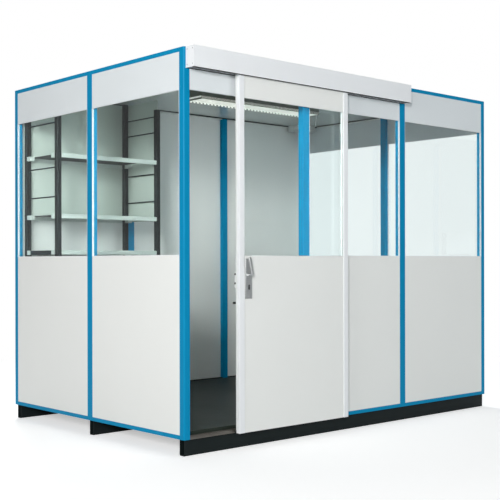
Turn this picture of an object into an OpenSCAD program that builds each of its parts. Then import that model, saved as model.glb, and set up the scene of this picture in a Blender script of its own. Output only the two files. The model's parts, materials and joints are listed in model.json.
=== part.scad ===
// Workshop cabin: a glazed steel-framed cabin on three skids, with a sliding door hung
// outside the front wall, a shelf rack, a ceiling lamp and its junction box.
// X runs along the front wall, Y from the front to the back, Z up from the ground.

/* [Skids] */
// Height of the skid tubes
skid_height = 100; // [60:5:160]
// Width of each skid tube
skid_width = 50; // [40:5:100]
// How far the skids stay inside the frame's outer faces
skid_setback = 16; // [0:1:60]

/* [Frame] */
// Length of the frame along the front
frame_length = 3060; // [2700:10:4200]
// Depth of the frame from front to back
frame_depth = 2060; // [1860:10:3000]
// Height of the frame above the skids
frame_height = 2350; // [2300:10:2700]
// Face width of the posts between two bays
post_width = 60; // [40:2:90]
// Depth of the posts and rails, and side of the square corner posts
post_depth = 46; // [40:2:70]
// Radius of the corner posts' outer edge
corner_radius = 10; // [4:1:18]
// Radius of the other posts' edges
edge_radius = 3; // [1:1:6]
// Height of the bottom rails
bottom_rail = 25; // [20:1:40]
// Height of the top rails
top_rail = 26; // [20:1:40]
// Bays along the front and the back
front_bays = 3; // [3:1:4]
// Bays along each side
side_bays = 2; // [2:1:3]

/* [Floor and roof] */
// Thickness of the floor deck
floor_thickness = 40; // [30:1:60]
// Thickness of the ceiling board
ceiling_thickness = 6; // [4:1:16]
// Thickness of the roof sheet on the ceiling board
roof_thickness = 6; // [4:1:12]
// How far the roof sheet lies below the frame's top
roof_setdown = 1; // [0:1:10]
// Height of the doorway's threshold
threshold_height = 20; // [10:1:25]

/* [Walls] */
// Thickness of the wall panels
panel_thickness = 16; // [10:1:20]
// How far the panels lie behind the frame's outer face
panel_recess = 2; // [0:0.5:6]
// Height of the window sill above the frame's bottom
sill_height = 1104; // [900:1:1300]
// Height of the panels over the windows and the doorway
fascia_height = 226; // [180:1:360]
// Thickness of the window panes
pane_thickness = 6; // [4:1:10]
// Width of the glazing bars beside a pane
glazing_width = 3; // [2:1:6]
// Depth of the glazing bars
glazing_depth = 16; // [10:1:20]
// How far the glazing bars lie behind the frame's outer face
glazing_recess = 1; // [0:0.5:4]

/* [Track cover] */
// Distance of the cover's left end from the frame's left end
cover_start = 16; // [0:1:40]
// Length of the cover
cover_length = 2020; // [1960:10:2300]
// How far the cover stands out from the wall
cover_depth = 79; // [74:1:100]
// Height of the cover
cover_height = 128; // [120:1:150]
// Thickness of the cover's sheet
cover_sheet = 4; // [2:0.5:5]
// Width of the lips beside the cover's slot
cover_lip = 13; // [8:1:14]
// Width of the channel that the door hangs in
track_width = 36; // [32:1:40]
// Height of that channel
track_height = 34; // [30:1:40]
// Thickness of the channel's walls
track_wall = 3; // [2:0.5:4]
// Width of the slot under the channel
track_slot = 12; // [10:1:16]

/* [Sliding door] */
// Distance of the door's left edge from the frame's left end, half open
door_start = 390; // [300:5:420]
// Width of the door
door_width = 990; // [980:1:1100]
// Thickness of the door
door_thickness = 34; // [28:1:36]
// Face width of the door's stiles
stile_width = 43; // [35:1:60]
// Height of the door's bottom edge above the frame's bottom
door_foot = 2; // [0:1:20]
// How far the door's top reaches into the cover
door_in_cover = 46; // [30:1:50]
// Height of the door's rails
door_rail = 40; // [30:1:60]
// Height of the sill in the door above the frame's bottom
door_sill = 1100; // [900:1:1300]
// Height of the door's upper panel, under its top rail
door_fascia = 140; // [100:1:260]
// Thickness of the door's panels
door_panel_thickness = 12; // [8:1:16]
// How far the door's panels lie behind the stiles' face
door_panel_recess = 5; // [2:0.5:8]
// Distance of the door's hangers from the door's edges
hanger_inset = 160; // [100:10:260]

/* [Door lock] */
// Width of the lock plates
plate_width = 50; // [36:1:60]
// Height of the lock plates
plate_height = 248; // [180:1:260]
// Thickness of the lock plates
plate_thickness = 6; // [4:1:8]
// Distance of the lever's pivot from the door's left edge
lever_inset = 78; // [70:1:100]
// Depth of the lever's pivot below the sill in the door
lever_below_sill = 117; // [115:1:200]
// Height of the pivot above the lock plates' bottom edge
pivot_on_plate = 147; // [100:1:160]
// Length of the lever's grip from the pivot
lever_length = 115; // [90:1:130]
// Width of the lever's grip
grip_width = 18; // [14:1:22]
// Thickness of the lever's grip
grip_thickness = 11; // [8:1:14]
// How far the outer grip stands off its lock plate
outer_standoff = 30; // [28:1:45]
// How far the inner grip stands off its lock plate
inner_standoff = 50; // [40:1:60]
// Angle of the grip from upright towards the closing edge
lever_lean = 13; // [0:1:25]
// Radius of the lever's neck
neck_radius = 9; // [7:0.5:11]
// Radius of the spindle that joins both levers
spindle_radius = 4; // [3:0.5:6]

/* [Rack] */
// Gap between the rack's left side and the left wall's posts
rack_side_gap = 7; // [6:1:30]
// Width of the rack
rack_width = 915; // [700:5:930]
// Depth of the rack
rack_depth = 469; // [300:1:600]
// Gap between the rack's back and the back wall's posts
rack_back_gap = 14; // [6:1:60]
// Gap between the rack's front uprights and the ceiling
rack_headroom = 94; // [20:1:300]
// Gap between the rack's back uprights and the ceiling
rack_back_headroom = 6; // [3:1:100]
// Side of the rack's uprights
upright_width = 38; // [30:1:50]
// Radius of the rungs
rung_radius = 5; // [3:0.5:8]
// Height of the shelves' edges
shelf_edge = 32; // [20:1:45]
// Thickness of the shelves' sheet
shelf_sheet = 3; // [2:0.5:4]
// Length of the clips that hold the shelves' corners
clip_length = 45; // [30:1:60]

/* [Lamp] */
// Length of the lamp
lamp_length = 1220; // [900:10:1500]
// Width of the lamp
lamp_width = 170; // [120:5:240]
// Height of the lamp's housing
lamp_housing_height = 60; // [40:1:70]
// Height of the lamp's louvre
louvre_height = 28; // [15:1:40]
// Distance of the lamp's left end from the frame's left end
lamp_start = 900; // [600:10:1000]
// Length of the junction box
box_length = 205; // [120:5:260]
// Width of the junction box
box_width = 168; // [120:2:220]
// Height of the junction box
box_height = 55; // [30:1:60]
// Distance of the junction box from the back and right posts
box_gap = 6; // [0:1:60]
// Radius of the lead between lamp and box
lead_radius = 4; // [3:0.5:6]
// Distance of the lead from the lamp's front side
lead_on_lamp = 21; // [10:1:80]
// Distance of the lead from the box's right side
lead_on_box = 12; // [8:1:80]

/* [Hidden] */
$fn = 48;

enamel_blue = "#0a8fc4";
panel_white = "#dfe3e5";
profile_white = "#eef0f2";
steel_black = "#23282a";
shelf_grey = "#c9d0cf";
cut = 1; // how far a cutting shape passes the face that it cuts
join = 1; // how far shapes of one piece run into each other
seat = 0.3; // clearance of what turns or rolls on its seat

// Frame
front_pitch = (frame_length - post_width) / front_bays;
side_pitch = (frame_depth - post_width) / side_bays;
corner_width = post_depth;
frame_top = frame_height - top_rail;
head_height = frame_top - fascia_height;
ceiling_z = frame_height - roof_setdown - roof_thickness - ceiling_thickness;

// Door, in the front wall's own coordinates: x from the frame's left end, y into the cabin
cover_foot = frame_height - cover_height;
door_middle_y = -cover_depth / 2;
door_front_y = door_middle_y - door_thickness / 2;
door_back_y = door_middle_y + door_thickness / 2;
door_top = cover_foot + door_in_cover;
door_head = door_top - door_rail - door_fascia;
panel_front_y = door_front_y + door_panel_recess;
panel_back_y = panel_front_y + door_panel_thickness;
pane_middle_y = panel_front_y + door_panel_thickness / 2;
leaf_start = door_start + stile_width;
leaf_width = door_width - 2 * stile_width;
track_foot = frame_height - cover_sheet - track_height;

// Hangers: a trolley on four wheels in the track, with a bolt through its slot
wheel_clearance = 2;
bolt_clearance = 2;
wheel_headroom = 6;
wheel_radius = (track_height - 2 * track_wall - wheel_headroom) / 2;
wheel_width = 6;
trolley_length = 80;
trolley_width = track_width - 2 * (track_wall + wheel_clearance + wheel_width);
trolley_height = 16;

// Lock
lever_x = door_start + lever_inset;
lever_z = door_sill - lever_below_sill;
plate_foot = lever_z - pivot_on_plate;
plate_corner = 6;
outer_plate_y = panel_front_y - plate_thickness;
inner_plate_y = door_back_y + plate_thickness;

// Guide shoes and buffer on the back of the door
shoe_length = 40;
shoe_height = 14;
shoe_reach = 13;
buffer_radius = 7;
buffer_length = 65;
buffer_height = 807;

// Rack, in plan coordinates of the front wall. Its lower rungs and shelves are placed by
// their height above the floor, and its upper ones by their depth below the front
// uprights' top
rack_start = post_depth + rack_side_gap;
rack_end = rack_start + rack_width;
rack_back_y = frame_depth - post_depth - rack_back_gap;
rack_front_y = rack_back_y - rack_depth;
rack_height = ceiling_z - floor_thickness - rack_headroom;
lower_rungs = [100, 480, 755];
upper_rungs = [706, 494, 171, 48];
lower_shelves = [300, 705];
upper_shelves = [1092, 831, 393];
rung_heights = concat(lower_rungs, [for (drop = upper_rungs) rack_height - drop]);
shelf_tops = concat(lower_shelves, [for (drop = upper_shelves) rack_height - drop]);

// Lamp and box
lamp_y = (frame_depth - lamp_width) / 2;
box_start = frame_length - post_depth - box_gap - box_length;
box_y = frame_depth - post_depth - box_gap - box_width;

// Start and end of a bay along a wall of the given length, pitch and number of bays
function bay_start(bay, pitch) = bay == 0 ? corner_width : bay * pitch + post_width;
function bay_end(bay, pitch, bays) =
    bay == bays - 1 ? bays * pitch + post_width - corner_width : (bay + 1) * pitch;

// Each wall is drawn along x from its left end as seen from outside, with y into the cabin
module at_front() {
    translate([-frame_length / 2, -frame_depth / 2, skid_height]) children();
}

module at_back() {
    rotate(180) at_front() children();
}

module at_left() {
    translate([-frame_length / 2, frame_depth / 2, skid_height]) rotate(-90) children();
}

module at_right() {
    rotate(180) at_left() children();
}

// A slab that fills one bay between two heights
module bay_slab(bay, pitch, bays, foot, top, recess, thickness) {
    start = bay_start(bay, pitch);
    width = bay_end(bay, pitch, bays) - start;
    translate([start, recess, foot]) cube([width, thickness, top - foot]);
}

module post(x) {
    translate([x, 0, 0])
        linear_extrude(frame_height) rounded_rectangle(post_width, post_depth, edge_radius);
}

module rounded_rectangle(width, depth, radius) {
    translate([radius, 0]) square([width - 2 * radius, depth]);
    translate([0, radius]) square([width, depth - 2 * radius]);
    for (x = [radius, width - radius], y = [radius, depth - radius])
        translate([x, y]) circle(radius);
}

// Square post whose outer edge has the larger radius
module corner_post() {
    linear_extrude(frame_height) {
        difference() {
            rounded_rectangle(corner_width, corner_width, edge_radius);
            square(corner_radius);
        }
        translate([corner_radius, corner_radius]) circle(corner_radius);
    }
}

module skids() {
    color(steel_black)
        for (y = [-1, 0, 1] * (frame_depth / 2 - skid_setback - skid_width / 2))
            translate([skid_setback - frame_length / 2, y - skid_width / 2, 0])
                cube([frame_length - 2 * skid_setback, skid_width, skid_height]);
}

module corner_posts() {
    color(enamel_blue) {
        at_front() corner_post();
        at_back() corner_post();
        at_left() corner_post();
        at_right() corner_post();
    }
}

module front_posts() {
    color(enamel_blue) at_front()
        for (bay = [1:front_bays - 1]) post(bay * front_pitch);
}

module back_posts() {
    color(enamel_blue) at_back()
        for (bay = [1:front_bays - 1]) post(bay * front_pitch);
}

module side_posts() {
    color(enamel_blue)
        for (bay = [1:side_bays - 1]) {
            at_left() post(bay * side_pitch);
            at_right() post(bay * side_pitch);
        }
}

// Rails of one wall between its posts; the first bay can be left open at the bottom
module wall_rails(pitch, bays, first_bottom) {
    for (bay = [0:bays - 1])
        bay_slab(bay, pitch, bays, frame_top, frame_height, 0, post_depth);
    for (bay = [first_bottom:bays - 1])
        bay_slab(bay, pitch, bays, 0, bottom_rail, 0, post_depth);
}

module front_rails() {
    color(enamel_blue) at_front() wall_rails(front_pitch, front_bays, 1);
}

module back_rails() {
    color(enamel_blue) at_back() wall_rails(front_pitch, front_bays, 0);
}

module left_rails() {
    color(enamel_blue) at_left() wall_rails(side_pitch, side_bays, 0);
}

module right_rails() {
    color(enamel_blue) at_right() wall_rails(side_pitch, side_bays, 0);
}

// A board that fills the plan inside the posts and rails
module inner_board(foot, thickness) {
    translate([post_depth - frame_length / 2, post_depth - frame_depth / 2, skid_height + foot])
        cube([frame_length - 2 * post_depth, frame_depth - 2 * post_depth, thickness]);
}

module floor_deck() {
    color("#5b6063") inner_board(0, floor_thickness);
}

module ceiling_board() {
    color(panel_white) inner_board(ceiling_z, ceiling_thickness);
}

module roof_sheet() {
    color(panel_white) inner_board(ceiling_z + ceiling_thickness, roof_thickness);
}

module door_threshold() {
    color("silver") at_front()
        bay_slab(0, front_pitch, front_bays, 0, threshold_height, 0, post_depth);
}

module wall_panels(pitch, bays, first, foot, top) {
    for (bay = [first:bays - 1])
        bay_slab(bay, pitch, bays, foot, top, panel_recess, panel_thickness);
}

module front_lower_panels() {
    color(panel_white) at_front()
        wall_panels(front_pitch, front_bays, 1, bottom_rail, sill_height);
}

module left_lower_panels() {
    color(panel_white) at_left()
        wall_panels(side_pitch, side_bays, 0, bottom_rail, sill_height);
}

module right_lower_panels() {
    color(panel_white) at_right()
        wall_panels(side_pitch, side_bays, 0, bottom_rail, sill_height);
}

module front_fascias() {
    color(panel_white) at_front()
        wall_panels(front_pitch, front_bays, 0, head_height, frame_top);
}

module left_fascias() {
    color(panel_white) at_left()
        wall_panels(side_pitch, side_bays, 0, head_height, frame_top);
}

module right_fascias() {
    color(panel_white) at_right()
        wall_panels(side_pitch, side_bays, 0, head_height, frame_top);
}

module back_wall_panels() {
    color(panel_white) at_back()
        wall_panels(front_pitch, front_bays, 0, bottom_rail, frame_top);
}

// Panes of one wall, from glazing bar to glazing bar
module wall_panes(pitch, bays, first) {
    for (bay = [first:bays - 1]) {
        start = bay_start(bay, pitch) + glazing_width;
        width = bay_end(bay, pitch, bays) - glazing_width - start;
        translate([start, glazing_recess + (glazing_depth - pane_thickness) / 2,
            sill_height + glazing_width])
            cube([width, pane_thickness, head_height - sill_height - 2 * glazing_width]);
    }
}

module front_panes() {
    color("lightblue", 0.3) at_front() wall_panes(front_pitch, front_bays, 1);
}

module left_panes() {
    color("lightblue", 0.3) at_left() wall_panes(side_pitch, side_bays, 0);
}

module right_panes() {
    color("lightblue", 0.3) at_right() wall_panes(side_pitch, side_bays, 0);
}

// Upright glazing bars at both ends of a bay
module bay_uprights(bay, pitch, bays) {
    start = bay_start(bay, pitch);
    end = bay_end(bay, pitch, bays) - glazing_width;
    for (x = [start, end])
        translate([x, glazing_recess, sill_height])
            cube([glazing_width, glazing_depth, head_height - sill_height]);
}

// Crossbars under and over the panes, between the upright bars
module bay_crossbars(bay, pitch, bays) {
    start = bay_start(bay, pitch) + glazing_width;
    width = bay_end(bay, pitch, bays) - glazing_width - start;
    for (z = [sill_height, head_height - glazing_width])
        translate([start, glazing_recess, z]) cube([width, glazing_depth, glazing_width]);
}

module glazing_uprights() {
    color(profile_white) {
        at_front()
            for (bay = [1:front_bays - 1]) bay_uprights(bay, front_pitch, front_bays);
        for (bay = [0:side_bays - 1]) {
            at_left() bay_uprights(bay, side_pitch, side_bays);
            at_right() bay_uprights(bay, side_pitch, side_bays);
        }
    }
}

module glazing_crossbars() {
    color(profile_white) {
        at_front()
            for (bay = [1:front_bays - 1]) bay_crossbars(bay, front_pitch, front_bays);
        for (bay = [0:side_bays - 1]) {
            at_left() bay_crossbars(bay, side_pitch, side_bays);
            at_right() bay_crossbars(bay, side_pitch, side_bays);
        }
    }
}

// Draws a profile of (y, z) along x
module along_x(start, length) {
    translate([start, 0, 0]) rotate([90, 0, 90]) linear_extrude(length) children();
}

module track_cover() {
    inner_depth = cover_depth - 2 * cover_sheet;
    color(profile_white) at_front() {
        along_x(cover_start, cover_length) difference() {
            translate([-cover_depth, cover_foot]) square([cover_depth, cover_height]);
            translate([cover_sheet - cover_depth, cover_foot + cover_sheet])
                square([inner_depth, cover_height - 2 * cover_sheet]);
            translate([cover_sheet + cover_lip - cover_depth, cover_foot - cut])
                square([inner_depth - 2 * cover_lip, cover_sheet + 2 * cut]);
        }
        for (x = [cover_start, cover_start + cover_length - cover_sheet])
            translate([x, -cover_depth, cover_foot])
                cube([cover_sheet, cover_depth, cover_height]);
    }
}

module door_track() {
    color("silver") at_front()
        along_x(cover_start + cover_sheet, cover_length - 2 * cover_sheet) difference() {
            translate([door_middle_y - track_width / 2, track_foot])
                square([track_width, track_height]);
            translate([door_middle_y - track_width / 2 + track_wall, track_foot + track_wall])
                square([track_width - 2 * track_wall, track_height - 2 * track_wall]);
            translate([door_middle_y - track_slot / 2, track_foot - cut])
                square([track_slot, track_wall + 2 * cut]);
        }
}

module door_stiles() {
    color(profile_white) at_front()
        for (x = [door_start, door_start + door_width - stile_width])
            translate([x, door_middle_y, door_foot])
                linear_extrude(door_top - door_foot)
                    translate([0, -door_thickness / 2])
                        rounded_rectangle(stile_width, door_thickness, edge_radius);
}

module door_rails() {
    color(profile_white) at_front() {
        translate([leaf_start, door_front_y, door_top - door_rail])
            cube([leaf_width, door_thickness, door_rail]);
        for (z = [door_foot, door_sill - door_rail, door_head])
            translate([leaf_start, panel_back_y, z])
                cube([leaf_width, door_back_y - panel_back_y, door_rail]);
    }
}

module door_panels() {
    color(panel_white) at_front() {
        translate([leaf_start, panel_front_y, door_head])
            cube([leaf_width, door_panel_thickness, door_fascia]);
        difference() {
            translate([leaf_start, panel_front_y, door_foot])
                cube([leaf_width, door_panel_thickness, door_sill - door_foot]);
            translate([lever_x, 0, lever_z]) spindle_hole();
        }
    }
}

module door_pane() {
    color("lightblue", 0.3) at_front()
        translate([leaf_start, pane_middle_y - pane_thickness / 2, door_sill])
            cube([leaf_width, pane_thickness, door_head - door_sill]);
}

// A trolley with four wheels in the track, and the bolt that carries the door
module door_hanger(x) {
    wheel_z = track_foot + track_wall + seat + wheel_radius;
    translate([x, door_middle_y, 0]) {
        translate([-trolley_length / 2, -trolley_width / 2, wheel_z - trolley_height / 2])
            cube([trolley_length, trolley_width, trolley_height]);
        for (wheel_x = [-1, 1] * (trolley_length / 2 - wheel_radius), side = [-1, 1])
            translate([wheel_x, side * (trolley_width + wheel_width) / 2, wheel_z])
                rotate([90, 0, 0]) cylinder(h = wheel_width, r = wheel_radius, center = true);
        translate([0, 0, door_top])
            cylinder(h = wheel_z - door_top, r = track_slot / 2 - bolt_clearance);
    }
}

module door_hangers() {
    color("silver") at_front()
        for (x = [door_start + hanger_inset, door_start + door_width - hanger_inset])
            door_hanger(x);
}

module door_guide_shoes() {
    color(steel_black) at_front()
        for (x = [door_start, door_start + door_width - shoe_length])
            translate([x, door_back_y, door_foot]) cube([shoe_length, shoe_reach, shoe_height]);
}

module door_buffer() {
    color(steel_black) at_front()
        translate([leaf_start - 2 * buffer_radius, door_back_y, buffer_height])
            translate([buffer_radius, 0, 0])
                rotate([-90, 0, 0]) cylinder(h = buffer_length, r = buffer_radius);
}

// Hole for the spindle, right through the door
module spindle_hole() {
    rotate([90, 0, 0])
        cylinder(h = 4 * door_thickness, r = spindle_radius + seat, center = true);
}

module lock_case() {
    color(panel_white) at_front() difference() {
        translate([leaf_start, panel_back_y, plate_foot])
            cube([2 * (lever_x - leaf_start), door_back_y - panel_back_y,
                door_sill - door_rail - plate_foot]);
        translate([lever_x, 0, lever_z]) spindle_hole();
    }
}

module lock_plate() {
    rotate([90, 0, 0]) linear_extrude(plate_thickness)
        rounded_rectangle(plate_width, plate_height, plate_corner);
}

module lock_plates() {
    color("silver") at_front() difference() {
        for (y = [panel_front_y, inner_plate_y])
            translate([lever_x - plate_width / 2, y, plate_foot]) lock_plate();
        translate([lever_x, 0, lever_z]) spindle_hole();
    }
}

// Grip in the x-z plane, upright from the pivot, with round ends
module grip() {
    rotate([90, 0, 0]) linear_extrude(grip_thickness) {
        translate([-grip_width / 2, 0]) square([grip_width, lever_length - grip_width / 2]);
        circle(d = grip_width);
        translate([0, lever_length - grip_width / 2]) circle(d = grip_width);
    }
}

module door_levers() {
    outer_y = outer_plate_y - seat;
    inner_y = inner_plate_y + seat;
    color("silver") at_front() translate([lever_x, 0, lever_z])
        rotate([0, -lever_lean, 0]) {
            translate([0, outer_y - outer_standoff, 0]) grip();
            translate([0, inner_y + inner_standoff + grip_thickness, 0]) grip();
            translate([0, outer_y, 0]) rotate([90, 0, 0])
                cylinder(h = outer_standoff + grip_thickness / 2, r = neck_radius);
            translate([0, inner_y, 0]) rotate([-90, 0, 0])
                cylinder(h = inner_standoff + grip_thickness / 2, r = neck_radius);
            translate([0, outer_y - join, 0]) rotate([-90, 0, 0])
                cylinder(h = inner_y - outer_y + 2 * join, r = spindle_radius);
        }
}

module rack_uprights() {
    back_height = ceiling_z - floor_thickness - rack_back_headroom;
    color(steel_black) at_front()
        for (x = [rack_start, rack_end - upright_width]) {
            rack_upright(x, rack_front_y, rack_height);
            rack_upright(x, rack_back_y - upright_width, back_height);
        }
}

module rack_upright(x, y, height) {
    translate([x, y, floor_thickness])
        linear_extrude(height) rounded_rectangle(upright_width, upright_width, edge_radius);
}

module rack_rungs() {
    color(steel_black) at_front()
        for (x = [rack_start, rack_end - upright_width] + [1, 1] * upright_width / 2,
            z = rung_heights)
            translate([x, rack_front_y + upright_width, floor_thickness + z])
                rotate([-90, 0, 0])
                    cylinder(h = rack_depth - 2 * upright_width, r = rung_radius);
}

// Folded trays between the two side frames, open at their ends
module rack_shelves() {
    color(shelf_grey) at_front()
        for (top = shelf_tops)
            along_x(rack_start + upright_width, rack_width - 2 * upright_width)
                translate([rack_front_y, floor_thickness + top - shelf_edge]) difference() {
                    square([rack_depth, shelf_edge]);
                    translate([shelf_sheet, -cut])
                        square([rack_depth - 2 * shelf_sheet, shelf_edge - shelf_sheet + cut]);
                }
}

// Clips that join each tray's corners to the uprights
module rack_clips() {
    color(shelf_grey) at_front()
        for (top = shelf_tops, x = [rack_start, rack_end - upright_width],
            y = [rack_front_y + upright_width, rack_back_y - upright_width - clip_length])
            translate([x, y, floor_thickness + top - shelf_edge])
                cube([upright_width, clip_length, shelf_edge]);
}

module lamp_housing() {
    color("#8d9294") at_front()
        translate([lamp_start, lamp_y, ceiling_z - lamp_housing_height])
            cube([lamp_length, lamp_width, lamp_housing_height]);
}

module lamp_louvre() {
    color("white") at_front()
        translate([lamp_start, lamp_y, ceiling_z - lamp_housing_height - louvre_height])
            cube([lamp_length, lamp_width, louvre_height]);
}

module junction_box() {
    color("white") at_front()
        translate([box_start, box_y, ceiling_z - box_height])
            cube([box_length, box_width, box_height]);
}

// The lead lies on the ceiling, straight from the lamp's end to the box's front, and both
// its ends are cut flush with the faces that they meet
module lamp_lead() {
    start = [lamp_start + lamp_length, lamp_y + lead_on_lamp];
    end = [box_start + box_length - lead_on_box, box_y];
    run = end - start;
    excess = 3 * lead_radius;
    block = 3 * excess;
    color("white") at_front() difference() {
        translate([start[0], start[1], ceiling_z - lead_radius])
            rotate([0, 90, atan2(run[1], run[0])])
                translate([0, 0, -excess])
                    cylinder(h = norm(run) + 2 * excess, r = lead_radius);
        translate([start[0] - block, start[1] - block / 2, ceiling_z - block / 2]) cube(block);
        translate([end[0] - block / 2, end[1], ceiling_z - block / 2]) cube(block);
    }
}

skids();
corner_posts();
front_posts();
back_posts();
side_posts();
front_rails();
back_rails();
left_rails();
right_rails();
floor_deck();
ceiling_board();
roof_sheet();
door_threshold();
front_lower_panels();
left_lower_panels();
right_lower_panels();
front_fascias();
left_fascias();
right_fascias();
back_wall_panels();
front_panes();
left_panes();
right_panes();
glazing_uprights();
glazing_crossbars();
track_cover();
door_track();
door_stiles();
door_rails();
door_panels();
door_pane();
door_hangers();
door_guide_shoes();
door_buffer();
lock_case();
lock_plates();
door_levers();
rack_uprights();
rack_rungs();
rack_shelves();
rack_clips();
lamp_housing();
lamp_louvre();
junction_box();
lamp_lead();
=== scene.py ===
"""Dresses the workshop cabin: its finishes, hardware and fittings, and a studio to show it in.

Everything is in metres in the cabin's own frame: X along the front wall, Y from the front
wall to the back wall, and Z up from the ground.
"""

import json
import math

import bmesh
import bpy
from mathutils import Matrix, Vector


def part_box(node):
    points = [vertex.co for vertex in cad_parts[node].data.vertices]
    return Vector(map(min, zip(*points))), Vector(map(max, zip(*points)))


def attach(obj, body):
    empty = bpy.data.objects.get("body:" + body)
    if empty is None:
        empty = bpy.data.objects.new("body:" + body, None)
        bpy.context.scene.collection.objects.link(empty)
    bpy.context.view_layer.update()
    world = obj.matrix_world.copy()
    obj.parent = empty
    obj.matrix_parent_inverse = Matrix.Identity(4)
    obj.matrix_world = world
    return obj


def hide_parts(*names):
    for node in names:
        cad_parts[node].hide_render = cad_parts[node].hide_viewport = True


bl_info = {
    "name": "Workshop cabin",
    "version": (1, 0, 0),
    "blender": (4, 5, 0),
    "location": "3D View > Sidebar > Cabin",
    "description": "Finishes and fittings of a glazed workshop cabin with a sliding door",
    "category": "Object",
}

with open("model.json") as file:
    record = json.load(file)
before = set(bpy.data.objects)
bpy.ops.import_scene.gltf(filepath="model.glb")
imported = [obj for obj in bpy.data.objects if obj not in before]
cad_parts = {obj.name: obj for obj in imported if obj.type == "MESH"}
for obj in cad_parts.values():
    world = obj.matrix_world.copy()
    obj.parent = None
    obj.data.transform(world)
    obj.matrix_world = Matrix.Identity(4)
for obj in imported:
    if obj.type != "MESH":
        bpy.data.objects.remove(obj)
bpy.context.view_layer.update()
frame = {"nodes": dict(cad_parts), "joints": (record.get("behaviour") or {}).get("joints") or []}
MM = 0.001
WHITE = (1.0, 1.0, 1.0, 1.0)


def linear(hex_code):
    """Linear red, green and blue of an sRGB hex colour."""
    shares = [int(hex_code[i : i + 2], 16) / 255 for i in (1, 3, 5)]
    return tuple(s / 12.92 if s <= 0.04045 else ((s + 0.055) / 1.055) ** 2.4 for s in shares)


def opaque(hex_code):
    """Linear colour of an sRGB hex colour with full opacity, as a socket takes it."""
    return (*linear(hex_code), 1.0)


def colour(name, description, hex_code):
    """A colour that a user can change."""
    return bpy.props.FloatVectorProperty(
        name=name,
        description=description,
        subtype="COLOR",
        size=3,
        min=0.0,
        max=1.0,
        default=linear(hex_code),
    )


def length(name, description, default):
    """A length in metres that a user can change."""
    return bpy.props.FloatProperty(
        name=name, description=description, unit="LENGTH", min=0.0, default=default
    )


class CabinColours(bpy.types.PropertyGroup):
    """Colours of the cabin's finishes"""

    frame_blue: colour("Frame", "Enamel on posts and rails", "#0486b4")
    panel_white: colour("Panels", "Coated sheet of lower panels, back wall and door", "#e8eae8")
    fascia_white: colour("Fascias", "Coated sheet over windows and doorway", "#dce2e5")
    profile_white: colour("Profiles", "Powder coat on door stiles and track cover", "#e9ecef")
    steel_black: colour("Black steel", "Paint on skids and rack", "#161e1f")
    floor_dark: colour("Floor", "Rubber floor covering", "#2c332d")
    ceiling_white: colour("Ceiling", "Coated ceiling board", "#cfd5d2")
    roof_grey: colour("Roof", "Coated roof sheet", "#cdd2d4")
    # The rack sheets' darker grey-green is painted shade of the wall behind the rack.
    rack_shade_green: colour("Rack sheets", "Coated sheets behind the rack's upper trays", "#c3cdc6")
    shelf_grey: colour("Shelves", "Coated shelf trays", "#ccd6d1")
    # The lamp's dark grey is partly painted shade of its unlit sides.
    lamp_grey: colour("Lamp", "Enamel outside the lamp", "#6c7068")
    plastic_white: colour("White plastic", "Box, lead and door latch", "#e2e5e4")
    glass_tint: colour("Glass", "What a pane lets through", "#faffff")


class CabinSizes(bpy.types.PropertyGroup):
    """Sizes of the cabin's fittings"""

    skid_width: length("Skid width", "Width of a skid tube", 50 * MM)
    skid_wall: length("Skid wall", "Wall of a skid tube", 5 * MM)
    rib_pitch: length("Threshold ribs", "Distance between the threshold's ribs", 9.5 * MM)
    rib_height: length("Rib height", "Height of the threshold's ribs", 5 * MM)
    upright_width: length("Rack upright", "Side of the rack's uprights", 38 * MM)
    groove_width: length("Rack groove", "Width of the groove in an upright's face", 12 * MM)
    groove_depth: length("Groove depth", "Depth of the groove in an upright's face", 5 * MM)
    shelf_sheet: length("Shelf sheet", "Thickness of the shelf trays", 3 * MM)
    shelf_edge: length("Shelf edge", "Height of the shelf trays' edges", 32 * MM)
    blade_pitch: length("Lamp blades", "Distance between the lamp's blades", 33 * MM)
    screw_radius: length("Screw heads", "Radius of the screw heads", 4.5 * MM)


# Nodes and materials


def add_node(tree, kind, fields, inputs):
    """Adds a node with its fields set, and its sockets set or linked."""
    node = tree.nodes.new(kind)
    for field, value in fields.items():
        setattr(node, field, value)
    for name, value in inputs.items():
        if isinstance(value, bpy.types.NodeSocket):
            tree.links.new(value, node.inputs[name])
        else:
            node.inputs[name].default_value = value
    return node


def start_material(name):
    """A new material with one Principled shader, and the object's own metres as coordinates."""
    material = bpy.data.materials.new(name)
    material.use_nodes = True
    tree = material.node_tree
    tree.nodes.clear()
    shader = add_node(tree, "ShaderNodeBsdfPrincipled", {}, {})
    add_node(tree, "ShaderNodeOutputMaterial", {}, {"Surface": shader.outputs[0]})
    place = add_node(tree, "ShaderNodeTexCoord", {}, {}).outputs["Object"]
    return material, tree, shader, place


def shade_of(rgb, factor):
    """A colour made darker or lighter by a factor, as four numbers."""
    return (*[min(1.0, part * factor) for part in rgb], 1.0)


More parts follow.
